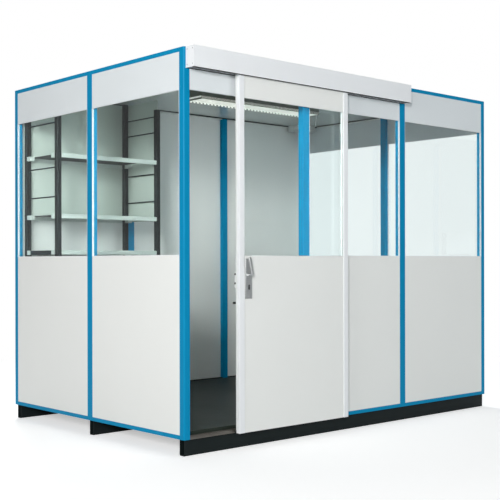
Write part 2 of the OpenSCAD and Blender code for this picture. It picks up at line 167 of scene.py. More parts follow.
def set_coat(tree, shader, place, rgb, spread, cloud, rough, grain, depth):
    """Colour and roughness that drift over cloud metres, and bumps over grain metres.

    Colour strays from rgb by spread of itself, rough holds the least and the greatest
    roughness, and depth is the height of the bumps in metres.
    """
    drift = add_node(
        tree, "ShaderNodeTexNoise", {}, {"Vector": place, "Scale": 1 / cloud, "Detail": 3.0}
    )
    tone = add_node(
        tree,
        "ShaderNodeMix",
        {"data_type": "RGBA"},
        {0: drift.outputs["Fac"], 6: shade_of(rgb, 1 - spread), 7: shade_of(rgb, 1 + spread)},
    )
    fine = add_node(
        tree, "ShaderNodeTexNoise", {}, {"Vector": place, "Scale": 1 / grain, "Detail": 2.0}
    )
    gloss = add_node(
        tree,
        "ShaderNodeMapRange",
        {},
        {"Value": drift.outputs["Fac"], "To Min": rough[0], "To Max": rough[1]},
    )
    bump = add_node(
        tree,
        "ShaderNodeBump",
        {},
        {"Height": fine.outputs["Fac"], "Strength": 1.0, "Distance": depth},
    )
    tree.links.new(tone.outputs[2], shader.inputs["Base Color"])
    tree.links.new(gloss.outputs[0], shader.inputs["Roughness"])
    tree.links.new(bump.outputs[0], shader.inputs["Normal"])
    return tone, bump


def set_streaks(tree, shader, place, stretch, detail, tones, depth, rough=None):
    """Streaks of two tones, with bumps along them and, where rough is given, roughness too.

    stretch holds how many streaks there are in a metre along X, Y and Z.
    """
    along = add_node(tree, "ShaderNodeMapping", {}, {"Vector": place, "Scale": stretch})
    streaks = add_node(
        tree,
        "ShaderNodeTexNoise",
        {},
        {"Vector": along.outputs[0], "Scale": 1.0, "Detail": detail},
    )
    shade = streaks.outputs["Fac"]
    tone = add_node(
        tree,
        "ShaderNodeMix",
        {"data_type": "RGBA"},
        {0: shade, 6: opaque(tones[0]), 7: opaque(tones[1])},
    )
    tree.links.new(tone.outputs[2], shader.inputs["Base Color"])
    if rough:
        gloss = add_node(
            tree, "ShaderNodeMapRange", {}, {"Value": shade, "To Min": rough[0], "To Max": rough[1]}
        )
        tree.links.new(gloss.outputs[0], shader.inputs["Roughness"])
    bump = add_node(tree, "ShaderNodeBump", {}, {"Height": shade, "Distance": depth})
    tree.links.new(bump.outputs[0], shader.inputs["Normal"])


def make_gloss_enamel(colours):
    """Sprayed enamel on steel: deep blue, with a faint orange peel in its soft highlights."""
    material, tree, shader, place = start_material("sprayed_enamel_blue")
    # Orange peel is about 2 mm wide and is drawn at 9 mm, so that it shows.
    set_coat(
        tree,
        shader,
        place,
        colours.frame_blue,
        spread=0.05,
        cloud=400 * MM,
        rough=(0.3, 0.4),
        grain=9 * MM,
        depth=0.05 * MM,
    )
    shader.inputs["Specular IOR Level"].default_value = 0.1
    return material


def coated_sheet(name, rgb):
    """Coil-coated sheet steel: smooth and even, with shallow waves where the sheet relaxes."""
    material, tree, shader, place = start_material(name)
    _, bump = set_coat(
        tree,
        shader,
        place,
        rgb,
        spread=0.012,
        cloud=500 * MM,
        rough=(0.42, 0.5),
        grain=7 * MM,
        depth=0.02 * MM,
    )
    # The waves of a relaxed sheet are about 300 mm apart.
    waves = add_node(
        tree, "ShaderNodeTexNoise", {}, {"Vector": place, "Scale": 1 / (300 * MM), "Detail": 0.0}
    )
    relaxed = add_node(
        tree,
        "ShaderNodeBump",
        {},
        {"Height": waves.outputs["Fac"], "Distance": 0.8 * MM, "Normal": bump.outputs[0]},
    )
    tree.links.new(relaxed.outputs[0], shader.inputs["Normal"])
    shader.inputs["Specular IOR Level"].default_value = 0.3
    return material


def make_panel_sheet(colours):
    """Coated sheet of the tall panels: a warm white."""
    return coated_sheet("coil_coated_sheet_white", colours.panel_white)


def make_rack_sheet(colours):
    """Coated sheet behind the rack's upper trays, grey with a touch of green; its darker tone is
    painted shade of the wall behind the rack.
    """
    return coated_sheet("coil_coated_sheet_grey_green", colours.rack_shade_green)


def make_fascia_sheet(colours):
    """Coated sheet of the panels over windows and doorway: a cooler, slightly greyer white."""
    return coated_sheet("coil_coated_sheet_cool_white", colours.fascia_white)


def make_powder_coat(colours):
    """Powder coat on aluminium profiles: satin, with a fine even pebble."""
    material, tree, shader, place = start_material("powder_coat_white")
    # The pebble is under 1 mm and is drawn at 6 mm, so that it shows.
    set_coat(
        tree,
        shader,
        place,
        colours.profile_white,
        spread=0.01,
        cloud=600 * MM,
        rough=(0.3, 0.36),
        grain=6 * MM,
        depth=0.03 * MM,
    )
    return material


def make_black_paint(colours):
    """Satin black stove paint on steel: dark, with a soft sheen and dusty patches."""
    material, tree, shader, place = start_material("stove_paint_black")
    set_coat(
        tree,
        shader,
        place,
        colours.steel_black,
        spread=0.16,
        cloud=150 * MM,
        rough=(0.34, 0.5),
        grain=6 * MM,
        depth=0.06 * MM,
    )
    shader.inputs["Specular IOR Level"].default_value = 0.2
    return material


def make_rubber_floor(colours):
    """Calendered rubber sheet: dark and half glossy, with light chips pressed into it."""
    material, tree, shader, place = start_material("rubber_sheet_dark")
    tone, _ = set_coat(
        tree,
        shader,
        place,
        colours.floor_dark,
        spread=0.1,
        cloud=350 * MM,
        rough=(0.4, 0.5),
        grain=11 * MM,
        depth=0.1 * MM,
    )
    # The chips are 2 to 4 mm across and are drawn at 12 mm, so that they show.
    chips = add_node(
        tree, "ShaderNodeTexVoronoi", {}, {"Vector": place, "Scale": 1 / (12 * MM)}
    )
    keep = add_node(
        tree,
        "ShaderNodeMapRange",
        {},
        {
            "Value": chips.outputs["Distance"],
            "From Min": 0.12,
            "From Max": 0.2,
            "To Min": 0.35,
            "To Max": 0.0,
        },
    )
    speckled = add_node(
        tree,
        "ShaderNodeMix",
        {"data_type": "RGBA"},
        {0: keep.outputs[0], 6: tone.outputs[2], 7: shade_of(colours.floor_dark, 2.6)},
    )
    tree.links.new(speckled.outputs[2], shader.inputs["Base Color"])
    shader.inputs["Specular IOR Level"].default_value = 0.18
    return material


def make_ceiling_coat(colours):
    """Semi-gloss coated board: smooth enough to mirror what stands under it."""
    material, tree, shader, place = start_material("coated_board_ceiling")
    set_coat(
        tree,
        shader,
        place,
        colours.ceiling_white,
        spread=0.02,
        cloud=700 * MM,
        rough=(0.1, 0.16),
        grain=14 * MM,
        depth=0.02 * MM,
    )
    shader.inputs["Coat Weight"].default_value = 0.5
    shader.inputs["Coat Roughness"].default_value = 0.08
    return material


def make_roof_coat(colours):
    """Matt coated roof sheet: weathered unevenly, with faint water marks."""
    material, tree, shader, place = start_material("coated_sheet_roof")
    set_coat(
        tree,
        shader,
        place,
        colours.roof_grey,
        spread=0.06,
        cloud=260 * MM,
        rough=(0.5, 0.64),
        grain=10 * MM,
        depth=0.05 * MM,
    )
    return material


def make_anodised(colours):
    """Brushed and anodised aluminium: fine lines along its length stretch the highlights."""
    material, tree, shader, place = start_material("anodised_aluminium")
    # The brush lines are 0.2 mm apart and are drawn at 3 mm, so that they show.
    set_streaks(
        tree,
        shader,
        place,
        stretch=(4.0, 330.0, 330.0),
        detail=2.0,
        tones=("#c9cccd", "#dfe1e2"),
        depth=0.04 * MM,
        rough=(0.3, 0.44),
    )
    shader.inputs["Metallic"].default_value = 1.0
    return material


def make_threshold_metal(colours):
    """Mill-finished aluminium: dull, dark and brownish, with scuffs along it."""
    material, tree, shader, place = start_material("dark_mill_aluminium")
    # Scuffs are 1 mm wide and are drawn at 5 mm, so that they show.
    set_streaks(
        tree,
        shader,
        place,
        stretch=(9.0, 200.0, 200.0),
        detail=3.0,
        tones=("#76716b", "#a39e97"),
        depth=0.1 * MM,
        rough=(0.42, 0.6),
    )
    shader.inputs["Metallic"].default_value = 1.0
    return material


def make_zinc(colours):
    """Zinc-plated steel: small crystals of slightly different brightness."""
    material, tree, shader, place = start_material("zinc_plated_steel")
    cells = add_node(tree, "ShaderNodeTexVoronoi", {}, {"Vector": place, "Scale": 1 / (7 * MM)})
    grey = add_node(tree, "ShaderNodeRGBToBW", {}, {"Color": cells.outputs["Color"]})
    tone = add_node(
        tree,
        "ShaderNodeMix",
        {"data_type": "RGBA"},
        {0: grey.outputs[0], 6: opaque("#a9acad"), 7: opaque("#c8cbcc")},
    )
    gloss = add_node(
        tree,
        "ShaderNodeMapRange",
        {},
        {"Value": grey.outputs[0], "To Min": 0.3, "To Max": 0.45},
    )
    tree.links.new(tone.outputs[2], shader.inputs["Base Color"])
    tree.links.new(gloss.outputs[0], shader.inputs["Roughness"])
    shader.inputs["Metallic"].default_value = 1.0
    return material


def make_rubber(colours):
    """Moulded black rubber: matt, with a fine mould texture."""
    material, tree, shader, place = start_material("moulded_rubber_black")
    set_coat(
        tree,
        shader,
        place,
        linear("#17191a"),
        spread=0.15,
        cloud=60 * MM,
        rough=(0.6, 0.75),
        grain=5 * MM,
        depth=0.08 * MM,
    )
    return material


def make_brush_fibre(colours):
    """Black nylon fibres of a brush seal: matt, with fine upright streaks. Under the track cover
    their black is also painted shade.
    """
    material, tree, shader, place = start_material("brush_fibre_black")
    # Fibres are 0.2 mm thick and are drawn at 3 mm, so that they show.
    set_streaks(
        tree,
        shader,
        place,
        stretch=(330.0, 330.0, 20.0),
        detail=1.0,
        tones=("#0d0f10", "#272a2b"),
        depth=0.4 * MM,
    )
    shader.inputs["Roughness"].default_value = 0.8
    return material


def make_shelf_coat(colours):
    """Light grey stove enamel on shelf steel: satin, lightly scuffed by what was stored."""
    material, tree, shader, place = start_material("stove_enamel_shelf")
    set_coat(
        tree,
        shader,
        place,
        colours.shelf_grey,
        spread=0.03,
        cloud=180 * MM,
        rough=(0.36, 0.48),
        grain=8 * MM,
        depth=0.04 * MM,
    )
    return material


def make_underside_shade(colours):
    """Flat, patchy near-black under the shelves: painted shade of the trays' undersides."""
    material, tree, shader, place = start_material("underside_shade_finish")
    set_coat(
        tree,
        shader,
        place,
        linear("#262b2a"),
        spread=0.2,
        cloud=120 * MM,
        rough=(0.6, 0.7),
        grain=8 * MM,
        depth=0.04 * MM,
    )
    return material


def make_lamp_enamel(colours):
    """Grey enamel outside the lamp's tray, satin and even; its dark grey is partly painted shade of
    the tray's unlit sides.
    """
    material, tree, shader, place = start_material("lamp_enamel_painted_shade")
    set_coat(
        tree,
        shader,
        place,
        colours.lamp_grey,
        spread=0.04,
        cloud=200 * MM,
        rough=(0.35, 0.45),
        grain=6 * MM,
        depth=0.03 * MM,
    )
    return material


def make_louvre(colours):
    """White louvre around lit tubes: it passes some of their light."""
    material, tree, shader, place = start_material("louvre_plastic_white")
    set_coat(
        tree,
        shader,
        place,
        linear("#eff1ec"),
        spread=0.01,
        cloud=90 * MM,
        rough=(0.28, 0.36),
        grain=6 * MM,
        depth=0.02 * MM,
    )
    shader.inputs["Emission Color"].default_value = opaque("#f4f8f2")
    shader.inputs["Emission Strength"].default_value = 0.28
    return material


def make_tube_glow(colours):
    """Lit fluorescent tube: an even white glow."""
    material, tree, shader, place = start_material("lit_tube_glass")
    set_coat(
        tree,
        shader,
        place,
        linear("#fbfaf2"),
        spread=0.01,
        cloud=200 * MM,
        rough=(0.2, 0.25),
        grain=6 * MM,
        depth=0.01 * MM,
    )
    shader.inputs["Emission Color"].default_value = opaque("#fbfdf6")
    shader.inputs["Emission Strength"].default_value = 1.0
    return material


def make_white_plastic(colours):
    """Moulded white plastic: a soft sheen and a very fine eroded mould texture."""
    material, tree, shader, place = start_material("moulded_plastic_white")
    set_coat(
        tree,
        shader,
        place,
        colours.plastic_white,
        spread=0.012,
        cloud=80 * MM,
        rough=(0.4, 0.48),
        grain=5 * MM,
        depth=0.03 * MM,
    )
    return material


def make_black_plastic(colours):
    """Moulded black plastic of caps and glands: satin."""
    material, tree, shader, place = start_material("moulded_plastic_black")
    set_coat(
        tree,
        shader,
        place,
        linear("#15181a"),
        spread=0.12,
        cloud=40 * MM,
        rough=(0.4, 0.5),
        grain=5 * MM,
        depth=0.04 * MM,
    )
    return material


def make_float_glass(colours):
    """Clear float glass with a faint green-blue body; lamps shine through it."""
    material, tree, shader, place = start_material("clear_float_glass")
    # Float glass has a slow ripple, over about 250 mm and far under a tenth of a millimetre.
    ripple = add_node(
        tree, "ShaderNodeTexNoise", {}, {"Vector": place, "Scale": 1 / (250 * MM), "Detail": 0.0}
    )
    bump = add_node(
        tree, "ShaderNodeBump", {}, {"Height": ripple.outputs["Fac"], "Distance": 0.05 * MM}
    )
    tree.links.new(bump.outputs[0], shader.inputs["Normal"])
    shader.inputs["Base Color"].default_value = (*colours.glass_tint, 1.0)
    shader.inputs["Roughness"].default_value = 0.0
    shader.inputs["IOR"].default_value = 1.45
    shader.inputs["Transmission Weight"].default_value = 1.0
    open_glass = add_node(
        tree, "ShaderNodeBsdfTransparent", {}, {"Color": (0.86, 0.9, 0.89, 1.0)}
    )
    path = add_node(tree, "ShaderNodeLightPath", {}, {})
    either = add_node(
        tree,
        "ShaderNodeMixShader",
        {},
        {0: path.outputs["Is Shadow Ray"], 1: shader.outputs[0], 2: open_glass.outputs[0]},
    )
    tree.links.new(either.outputs[0], tree.nodes["Material Output"].inputs["Surface"])
    return material


FINISHES = {
    "enamel": make_gloss_enamel,
    "sheet": make_panel_sheet,
    "fascia": make_fascia_sheet,
    "rack_sheet": make_rack_sheet,
    "powder": make_powder_coat,
    "black": make_black_paint,
    "floor": make_rubber_floor,
    "ceiling": make_ceiling_coat,
    "roof": make_roof_coat,
    "aluminium": make_anodised,
    "threshold": make_threshold_metal,
    "zinc": make_zinc,
    "rubber": make_rubber,
    "brush": make_brush_fibre,
    "shelf": make_shelf_coat,
    "underside_shade": make_underside_shade,
    "lamp": make_lamp_enamel,
    "louvre": make_louvre,
    "tube": make_tube_glow,
    "plastic": make_white_plastic,
    "black_plastic": make_black_plastic,
    "glass": make_float_glass,
}
made_finishes = {}


def finish(name):
    """The cabin's finish of that name, made when it is first asked for."""
    if name not in made_finishes:
        made_finishes[name] = FINISHES[name](bpy.context.scene.cabin_colours)
    return made_finishes[name]


def coat(name, *nodes):
    """Gives a finish to parts of the cabin whose shape is right."""
    for node in nodes:
        for slot in frame["nodes"][node].material_slots:
            slot.material = finish(name)


# Shapes


def add_block(mesh, low, high, edge, paint=0):
    """Adds a block between two corners, with its edges rounded."""
    low, high = Vector(low), Vector(high)
    corners = bmesh.ops.create_cube(mesh, size=1)["verts"]
    place = Matrix.LocRotScale((low + high) / 2, None, high - low)
    bmesh.ops.transform(mesh, matrix=place, verts=corners)
    edges = list({e for v in corners for e in v.link_edges})
    faces = list({f for v in corners for f in v.link_faces})
    made = bmesh.ops.bevel(
        mesh, geom=edges, offset=edge, segments=2, affect="EDGES", profile=0.5
    )
    for face in faces + made["faces"]:
        if face.is_valid:
            face.material_index = paint


def add_turned(mesh, origin, axis, outline, steps=20, paint=0):
    """Adds a body turned about an axis. Its outline lists (radius, height) pairs."""
    turn = Vector((0, 0, 1)).rotation_difference(Vector(axis)).to_matrix().to_4x4()
    place = Matrix.Translation(origin) @ turn
    rings = []
    for radius, height in outline:
        count = steps if radius > 0 else 1
        angles = [2 * math.pi * i / steps for i in range(count)]
        spots = [Vector((radius * math.cos(a), radius * math.sin(a), height)) for a in angles]
        rings.append([mesh.verts.new(place @ spot) for spot in spots])
    for lower, upper in zip(rings, rings[1:]):
        for i in range(steps):
            j = (i + 1) % steps
            corners = [lower[i % len(lower)], lower[j % len(lower)]]
            corners += [upper[j % len(upper)], upper[i % len(upper)]]
            corners = list(dict.fromkeys(corners))
            if len(corners) > 2:
                mesh.faces.new(corners).material_index = paint


def join_rings(mesh, rings, paint=0, closed=True):
    """Joins each ring of points to the next, and closes the first and last if asked to."""
    for lower, upper in zip(rings, rings[1:]):
        for i in range(len(lower)):
            j = (i + 1) % len(lower)
            corners = [lower[i], lower[j], upper[j], upper[i]]
            mesh.faces.new(corners).material_index = paint
    if closed:
        for ring in (rings[0], rings[-1]):
            mesh.faces.new(ring).material_index = paint


def add_profile(mesh, outline, start, end, axis="X", paint=0):
    """Adds a bar with that closed outline between two places on the axis.

    The outline is (y, z) for a bar along X and (x, y) for one along Z.
    """
    if axis == "X":
        ends = [[mesh.verts.new((at, a, b)) for a, b in outline] for at in (start, end)]
    else:
        ends = [[mesh.verts.new((a, b, at)) for a, b in outline] for at in (start, end)]
    join_rings(mesh, ends, paint)


def rounded_outline(low, high, radius, steps=4):
    """A rectangle's outline with round corners, as a closed list of points."""
    points = []
    centres = [
        (high[0] - radius, high[1] - radius, 0),
        (low[0] + radius, high[1] - radius, 90),
        (low[0] + radius, low[1] + radius, 180),
        (high[0] - radius, low[1] + radius, 270),
    ]
    for x, y, first in centres:
        for step in range(steps + 1):
            angle = math.radians(first + 90 * step / steps)
            points.append((x + radius * math.cos(angle), y + radius * math.sin(angle)))
    return points


def add_hollow(mesh, outer, inner, start, end, paint=0):
    """Adds an open tube along X. Its outlines hold as many points as each other."""
    rings = []
    for outline, at in ((outer, start), (outer, end), (inner, end), (inner, start)):
        rings.append([mesh.verts.new((at, y, z)) for y, z in outline])
    join_rings(mesh, rings + rings[:1], paint, closed=False)


def add_screw(mesh, place, axis, radius, paint=0):
    """Adds a domed screw head with a socket, standing on a face."""
    outline = [
        (radius, 0.0),
        (radius, 0.25 * radius),
        (0.8 * radius, 0.5 * radius),
        (0.42 * radius, 0.6 * radius),
        (0.42 * radius, 0.25 * radius),
        (0.0, 0.2 * radius),
    ]
    add_turned(mesh, place, axis, outline, 12, paint)


def make_piece(name, mesh, body, finishes, replaces=()):
    """Turns mesh code into a piece that moves with one of the cabin's bodies."""
    bmesh.ops.recalc_face_normals(mesh, faces=mesh.faces)
    for edge in mesh.edges:
        bends = len(edge.link_faces) == 2 and edge.calc_face_angle() > math.radians(38)
        edge.smooth = not bends
    for face in mesh.faces:
        face.smooth = True
    data = bpy.data.meshes.new(name)
    mesh.to_mesh(data)
    mesh.free()
    for each in finishes:
        data.materials.append(finish(each))
    piece = bpy.data.objects.new(name, data)
    bpy.context.scene.collection.objects.link(piece)
    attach(piece, body)
    if replaces:
        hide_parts(*replaces)
    return piece


# Pieces


class CABIN_OT_frame(bpy.types.Operator):
    """Coats the posts and rails, and makes the skids as open tubes"""

    bl_idname = "cabin.frame"
    bl_label = "Frame and skids"

    def execute(self, context):
        sizes = context.scene.cabin_sizes
        coat("enamel", "corner_posts", "front_posts", "back_posts", "side_posts")
        coat("enamel", "front_rails", "back_rails", "left_rails", "right_rails")
        low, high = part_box("skids")
        half = sizes.skid_width / 2
        wall = sizes.skid_wall
        outer_round, inner_round = 7 * MM, 3 * MM
        # The tubes' ends are closed a little way in.
        plug_start, plug_end = 90 * MM, 94 * MM
        mesh = bmesh.new()
        for middle in (low.y + half, (low.y + high.y) / 2, high.y - half):
            outer = rounded_outline((middle - half, low.z), (middle + half, high.z), outer_round)
            inner = rounded_outline(
                (middle - half + wall, low.z + wall),
                (middle + half - wall, high.z - wall),
                inner_round,
            )
            add_hollow(mesh, outer, inner, low.x, high.x)
            for end, inward in ((low.x, 1), (high.x, -1)):
                plug = sorted((end + inward * plug_start, end + inward * plug_end))
                add_block(
                    mesh,
                    (plug[0], middle - half + wall, low.z + wall),
                    (plug[1], middle + half - wall, high.z - wall),
                    0.5 * MM,
                )
        make_piece("skid_tubes", mesh, "cabin", ["black"], ["skids"])
        return {"FINISHED"}


class CABIN_OT_walls(bpy.types.Operator):
    """Coats the wall panels and glazing bars, and glazes the windows"""

    bl_idname = "cabin.walls"
    bl_label = "Walls and windows"

    def execute(self, context):
        coat("sheet", "front_lower_panels", "left_lower_panels", "right_lower_panels")
        coat("sheet", "back_wall_panels")
        coat("fascia", "front_fascias", "left_fascias", "right_fascias")
        coat("powder", "glazing_uprights", "glazing_crossbars")
        coat("glass", "front_panes", "left_panes", "right_panes")
        return {"FINISHED"}


class CABIN_OT_floor(bpy.types.Operator):
    """Lays the floor covering and makes the ribbed threshold"""

    bl_idname = "cabin.floor"
    bl_label = "Floor and threshold"

    def execute(self, context):
        sizes = context.scene.cabin_sizes
        coat("floor", "floor_deck")
        low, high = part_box("door_threshold")
        top = high.z - sizes.rib_height
        outline = [(low.y, low.z), (low.y, top - 3 * MM), (low.y + 2 * MM, top)]
        across = low.y + 5 * MM
        rib = sizes.rib_pitch * 0.45
        # Each rib leans in by shoulder and rounds off by crown at its top.
        shoulder, crown, drop = 0.5 * MM, 0.9 * MM, 0.4 * MM
        while across + sizes.rib_pitch * 0.5 < high.y - 2 * MM:
            outline += [(across, top), (across + shoulder, high.z - drop)]
            outline += [(across + crown, high.z), (across + rib - crown, high.z)]
            outline += [(across + rib - shoulder, high.z - drop), (across + rib, top)]
            across += sizes.rib_pitch
        outline += [(high.y, top), (high.y, low.z)]
        mesh = bmesh.new()
        add_profile(mesh, outline, low.x, high.x)
        for share in (0.08, 0.36, 0.64, 0.92):
            place = Vector((low.x + share * (high.x - low.x), low.y + 21.5 * MM, top))
            add_screw(mesh, place, (0, 0, 1), 3 * MM, 1)
        make_piece(
            "threshold_ribs",
            mesh,
            "cabin",
            ["threshold", "zinc"],
            ["door_threshold"],
        )
        return {"FINISHED"}


class CABIN_OT_roof(bpy.types.Operator):
    """Coats the ceiling and the roof, and adds the roof's cover strips and rivets"""

    bl_idname = "cabin.roof"
    bl_label = "Ceiling and roof"

    def execute(self, context):
        coat("ceiling", "ceiling_board")
        coat("roof", "roof_sheet")
        low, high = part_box("roof_sheet")
        strip_half, strip_thick, strip_edge = 25 * MM, 0.6 * MM, 0.2 * MM
        rivet = [(4 * MM, 0), (3 * MM, 0.4 * MM), (0, 0.5 * MM)]
        rivets, rivet_side, rivet_foot = 8, 16 * MM, 0.5 * MM
        mesh = bmesh.new()
        pitch = (high.x - low.x) / 3
        for joint in (low.x + pitch, low.x + 2 * pitch):
            add_block(
                mesh,
                (joint - strip_half, low.y, high.z),
                (joint + strip_half, high.y, high.z + strip_thick),
                strip_edge,
            )
            for side in (-rivet_side, rivet_side):
                for step in range(rivets):
                    y = low.y + (step + 0.5) * (high.y - low.y) / rivets
                    place = Vector((joint + side, y, high.z + rivet_foot))
                    add_turned(mesh, place, (0, 0, 1), rivet, 10, 1)
        make_piece("roof_strips", mesh, "cabin", ["roof", "zinc"])
        return {"FINISHED"}


class CABIN_OT_edges(bpy.types.Operator):
    """Adds the liners, and black strips that paint the shade, where walls meet ceiling and floor"""

    bl_idname = "cabin.edges"
    bl_label = "Inner edges"

    def execute(self, context):
        ceiling_low, ceiling_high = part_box("ceiling_board")
        _, floor_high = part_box("floor_deck")
        panel_low, panel_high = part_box("back_wall_panels")
        rail_foot = panel_high.z
        gap = panel_low.y - ceiling_high.y
        shade_strip_height, thick = 9 * MM, 2 * MM
        shade_strip_foot = ceiling_low.z - shade_strip_height

        # Black strip all round under the ceiling: painted shade of the joint between walls and
        # ceiling
        mesh = bmesh.new()
        for y in (ceiling_low.y, ceiling_high.y - thick):
            add_block(
                mesh,
                (ceiling_low.x, y, shade_strip_foot),
                (ceiling_high.x, y + thick, ceiling_low.z),
                0.5 * MM,
            )
        for x in (ceiling_low.x, ceiling_high.x - thick):
            add_block(
                mesh,
                (x, ceiling_low.y + thick, shade_strip_foot),
                (x + thick, ceiling_high.y - thick, ceiling_low.z),
                0.5 * MM,
            )
        make_piece("ceiling_shade_strips", mesh, "cabin", ["rubber"])

        # White liners that cap the top rails between the posts, and black strips over the gap
        # between the floor and the panels, which paint the shade there
        liners = bmesh.new()
        strips = bmesh.new()
        sheet, strip_height = 1 * MM, 6 * MM
        for along, start, end, wall, inward in self.bays():
            inner = wall + inward * gap
            strip_inner = inner + inward * thick
            # The doorway is the front wall's first bay, and no strip crosses it.
            in_doorway = along == "X" and wall < 0 and start < ceiling_low.x + sheet
            for mesh, foot, top, limits in (
                (liners, rail_foot - sheet, rail_foot, (wall, inner)),
                (liners, rail_foot - sheet, shade_strip_foot, (inner, inner + inward * sheet)),
                (strips, floor_high.z, floor_high.z + strip_height, (wall, strip_inner)),
            ):
                near, far = sorted(limits)
                if along == "X":
                    low, high = (start, near, foot), (end, far, top)
                else:
                    low, high = (near, start, foot), (far, end, top)
                if mesh is liners or not in_doorway:
                    add_block(mesh, low, high, 0.3 * MM)
        make_piece("rail_liners", liners, "cabin", ["sheet"])
        make_piece("floor_shade_strips", strips, "cabin", ["rubber"])
        return {"FINISHED"}

    def bays(self):
        """Each bay of each wall: its direction, its ends, its panels' inner face and the
        way inwards."""
        ceiling_low, ceiling_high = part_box("ceiling_board")
        back_low, back_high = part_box("back_posts")
        side_low, side_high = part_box("side_posts")
        post = side_high.y - side_low.y
        panel_low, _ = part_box("back_wall_panels")
        _, left_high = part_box("left_lower_panels")
        spans = [
            (ceiling_low.x, back_low.x),
            (back_low.x + post, back_high.x - post),
            (back_high.x, ceiling_high.x),
        ]
        bays = []
        for start, end in spans:
            bays.append(("X", start, end, panel_low.y, -1))
            bays.append(("X", start, end, -panel_low.y, 1))
        for start, end in ((ceiling_low.y, side_low.y), (side_high.y, ceiling_high.y)):
            bays.append(("Y", start, end, left_high.x, 1))
            bays.append(("Y", start, end, -left_high.x, -1))
        return bays


class CABIN_OT_track(bpy.types.Operator):
    """Coats the track cover and its track, and adds the cover's screws and brush seals, whose black
    also paints the shade under the cover
    """

    bl_idname = "cabin.track"
    bl_label = "Door track"

    def execute(self, context):
        sizes = context.scene.cabin_sizes
        coat("powder", "track_cover")
        coat("aluminium", "door_track")
        low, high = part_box("track_cover")
        leaf_low, leaf_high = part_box("door_stiles")

        # A black brush under each lip, which ends 1 mm short of the door's faces: a seal, and
        # painted shade under the cover
        brush_gap = 1 * MM
        mesh = bmesh.new()
        for outer, face in (
            (low.y + brush_gap, leaf_low.y - brush_gap),
            (leaf_high.y + brush_gap, high.y - brush_gap),
        ):
            foot = low.z - 1 * MM
            outline = [(outer, foot), (face, foot), (face, low.z), (outer, low.z)]
            add_profile(mesh, outline, low.x + 1 * MM, high.x - 1 * MM)
        make_piece("cover_brushes_and_shade", mesh, "cabin", ["brush"])

        # Screws in the cover's ends
        mesh = bmesh.new()
        for x, way in ((low.x, -1), (high.x, 1)):
            for y in (low.y + 14 * MM, high.y - 14 * MM):
                for z in (low.z + 18 * MM, high.z - 18 * MM):
                    add_screw(mesh, Vector((x, y, z)), (way, 0, 0), sizes.screw_radius * 0.8)
        make_piece("cover_screws", mesh, "cabin", ["zinc"])
        return {"FINISHED"}


class CABIN_OT_door(bpy.types.Operator):
    """Coats and glazes the door's leaf, and adds its seals and latch"""

    bl_idname = "cabin.door"
    bl_label = "Sliding door"

    def execute(self, context):
        coat("powder", "door_stiles", "door_rails")
        coat("sheet", "door_panels", "lock_case")
        coat("glass", "door_pane")
        coat("zinc", "door_hangers")
        coat("rubber", "door_guide_shoes", "door_buffer")
        leaf_low, leaf_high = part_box("door_stiles")
        pane_low, pane_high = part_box("door_pane")

        # Soft strip that closes against the post's lining
        mesh = bmesh.new()
        add_block(
            mesh,
            (leaf_low.x - 2.5 * MM, leaf_high.y - 13 * MM, leaf_low.z + 20 * MM),
            (leaf_low.x, leaf_high.y - 1 * MM, leaf_high.z - 2 * MM),
            1 * MM,
        )
        make_piece("door_closing_strip", mesh, "sliding_door", ["plastic"])

        # Seals around the pane, on both its faces
        mesh = bmesh.new()
        seal = 4 * MM
        for y_low, y_high in (
            (pane_low.y - 2 * MM, pane_low.y),
            (pane_high.y, pane_high.y + 2 * MM),
        ):
            for x in (pane_low.x, pane_high.x - seal):
                add_block(
                    mesh, (x, y_low, pane_low.z), (x + seal, y_high, pane_high.z), 0.6 * MM
                )
            for z in (pane_low.z, pane_high.z - seal):
                add_block(
                    mesh,
                    (pane_low.x + seal, y_low, z),
                    (pane_high.x - seal, y_high, z + seal),
                    0.6 * MM,
                )
        make_piece("door_pane_seals", mesh, "sliding_door", ["plastic"])

        # Inner latch housing on the back of the closing stile
        plate_low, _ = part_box("lock_plates")
        mesh = bmesh.new()
        outline = rounded_outline(
            (leaf_low.x + 1 * MM, plate_low.z + 64 * MM),
            (leaf_low.x + 27 * MM, plate_low.z + 167 * MM),
            12 * MM,
            6,
        )
        back = leaf_high.y
        rings = []
        for depth, inset in ((0, 0), (12 * MM, 0), (15 * MM, 1.5 * MM), (16 * MM, 4 * MM)):
            centre_x = leaf_low.x + 14 * MM
            centre_z = plate_low.z + 115.5 * MM
            ring = []
            for x, z in outline:
                away = Vector((x - centre_x, 0, z - centre_z))
                place = away * (1 - inset / max(away.length, MM))
                ring.append(
                    mesh.verts.new((centre_x + place.x, back + depth, centre_z + place.z))
                )
            rings.append(ring)
        join_rings(mesh, rings)
        for z in (plate_low.z + 95 * MM, plate_low.z + 152 * MM):
            place = Vector((leaf_low.x + 1.5 * MM, back + 8 * MM, z))
            add_screw(mesh, place, (-1, 0, 0), 7 * MM, 1)
        make_piece(
            "door_latch_housing",
            mesh,
            "sliding_door",
            ["plastic", "black_plastic"],
        )
        return {"FINISHED"}


